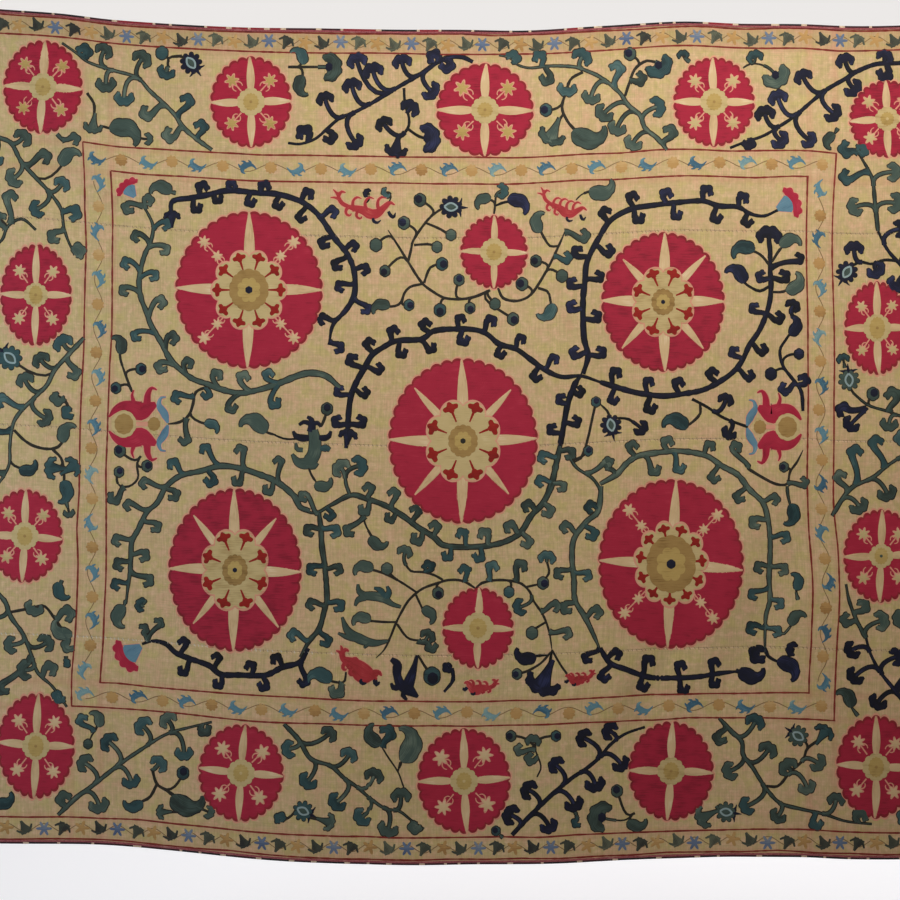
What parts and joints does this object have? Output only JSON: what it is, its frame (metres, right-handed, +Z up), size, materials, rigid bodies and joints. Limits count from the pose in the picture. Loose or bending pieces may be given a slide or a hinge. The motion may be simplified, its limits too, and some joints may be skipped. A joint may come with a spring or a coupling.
{
  "type": "suzani embroidered textile wall hanging",
  "caption": "Large cotton hanging of loom-width panels sewn edge to edge, bound round the rim and embroidered with red rosettes and leafy scrolls, held along its top edge.",
  "frame": {"origin": "middle of the top edge, on the plane that the top edge hangs in", "axes": "+X along the textile to the viewer's right, +Y away from the viewer who faces the embroidery, +Z up"},
  "size_m": [2.2576, 0.0365, 1.8991],
  "materials": {
    "ground_cloth": "hand-woven cotton in plain weave, tea-brown with age",
    "woven_edging": "narrow woven silk and cotton tape with dark red and ivory stripes",
    "silk_thread": "couched silk embroidery with a soft sheen"
  },
  "bodies": {
    "root": {"panel_1": "ground_cloth", "panel_2": "ground_cloth", "panel_3": "ground_cloth", "panel_4": "ground_cloth", "edging_top": "woven_edging", "edging_hem": "woven_edging", "edging_left": "woven_edging", "edging_right": "woven_edging"}
  },
  "joints": []
}
